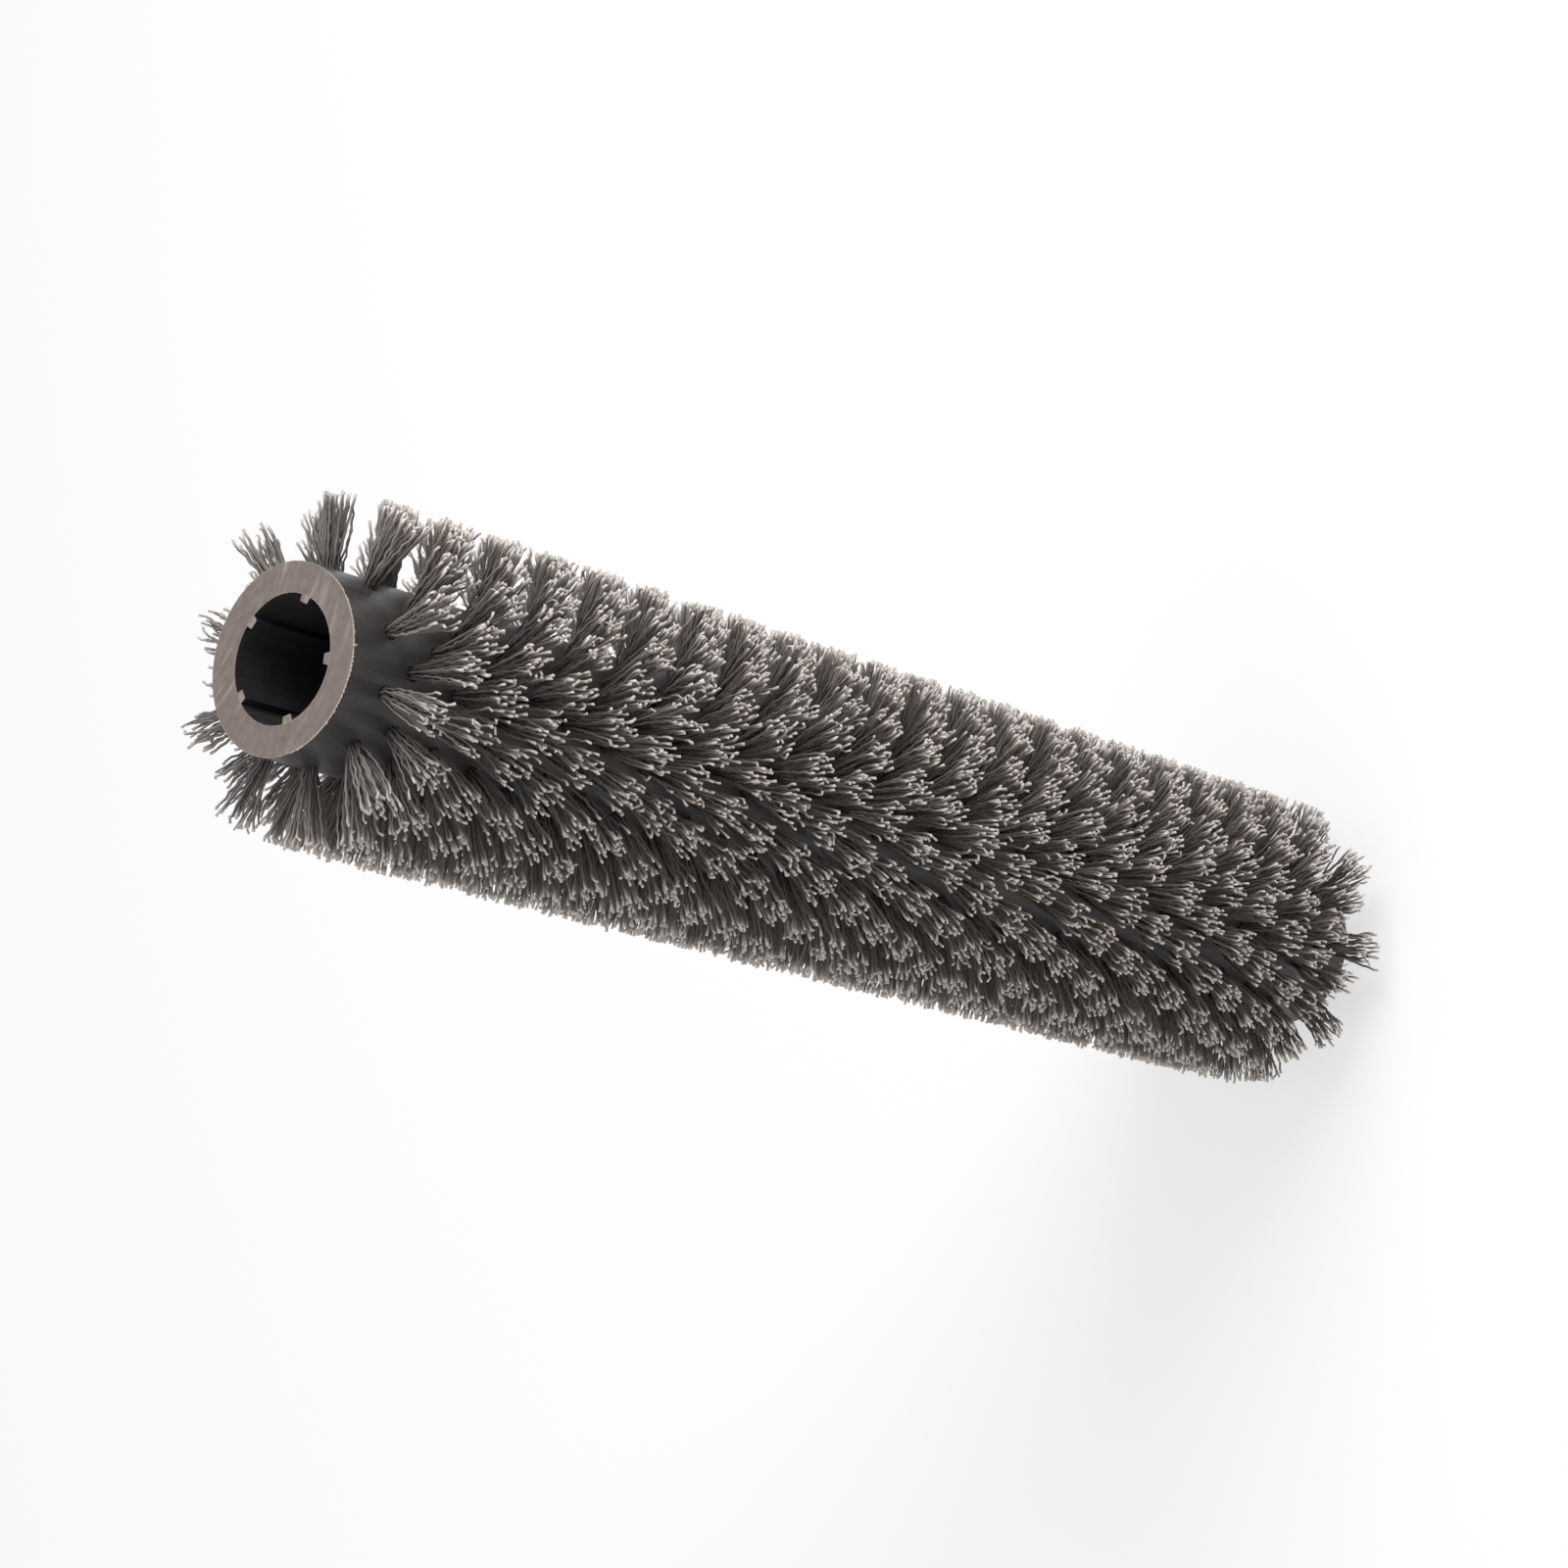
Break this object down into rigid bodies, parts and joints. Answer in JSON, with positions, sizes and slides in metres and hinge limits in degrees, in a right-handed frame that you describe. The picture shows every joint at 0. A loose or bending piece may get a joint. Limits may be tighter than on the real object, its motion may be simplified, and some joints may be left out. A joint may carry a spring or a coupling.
{
  "type": "cylindrical floor scrubber brush",
  "caption": "Long cylindrical brush: a plastic tube with a splined bore for a drive hub, covered in twisted rows of stiff nylon bristle tufts, for scrubbing hard floors.",
  "frame": {"origin": "centre of the lower end face of the tube, on the tube's axis", "axes": "+Z along the tube's axis, from the end it stands on to the end shown in the picture; -Y towards the side shown in the picture"},
  "size_m": [0.147, 0.147, 0.7],
  "materials": {
    "tube": "extruded plastic, near black brown, with a soft sheen outside and a coarse sawn end",
    "bristle": "crimped grey brown nylon filament with paler cut tips",
    "anchor_wire": "bright flat wire"
  },
  "bodies": {
    "root": {"core_tube": "tube", "tuft_row_1": "bristle", "tuft_row_2": "bristle", "tuft_row_3": "bristle", "tuft_row_4": "bristle", "tuft_row_5": "bristle", "tuft_row_6": "bristle", "tuft_row_7": "bristle", "tuft_row_8": "bristle", "tuft_row_9": "bristle", "tuft_row_10": "bristle", "tuft_row_11": "bristle", "tuft_row_12": "bristle", "tuft_row_13": "bristle", "tuft_row_14": "bristle", "tuft_row_15": "bristle", "tuft_row_16": "bristle", "tuft_row_17": "bristle", "tuft_row_18": "bristle", "tuft_row_19": "bristle", "tuft_row_20": "bristle", "anchor_row_1": "anchor_wire", "anchor_row_2": "anchor_wire", "anchor_row_3": "anchor_wire", "anchor_row_4": "anchor_wire", "anchor_row_5": "anchor_wire", "anchor_row_6": "anchor_wire", "anchor_row_7": "anchor_wire", "anchor_row_8": "anchor_wire", "anchor_row_9": "anchor_wire", "anchor_row_10": "anchor_wire", "anchor_row_11": "anchor_wire", "anchor_row_12": "anchor_wire", "anchor_row_13": "anchor_wire", "anchor_row_14": "anchor_wire", "anchor_row_15": "anchor_wire", "anchor_row_16": "anchor_wire", "anchor_row_17": "anchor_wire", "anchor_row_18": "anchor_wire", "anchor_row_19": "anchor_wire", "anchor_row_20": "anchor_wire"}
  },
  "joints": []
}
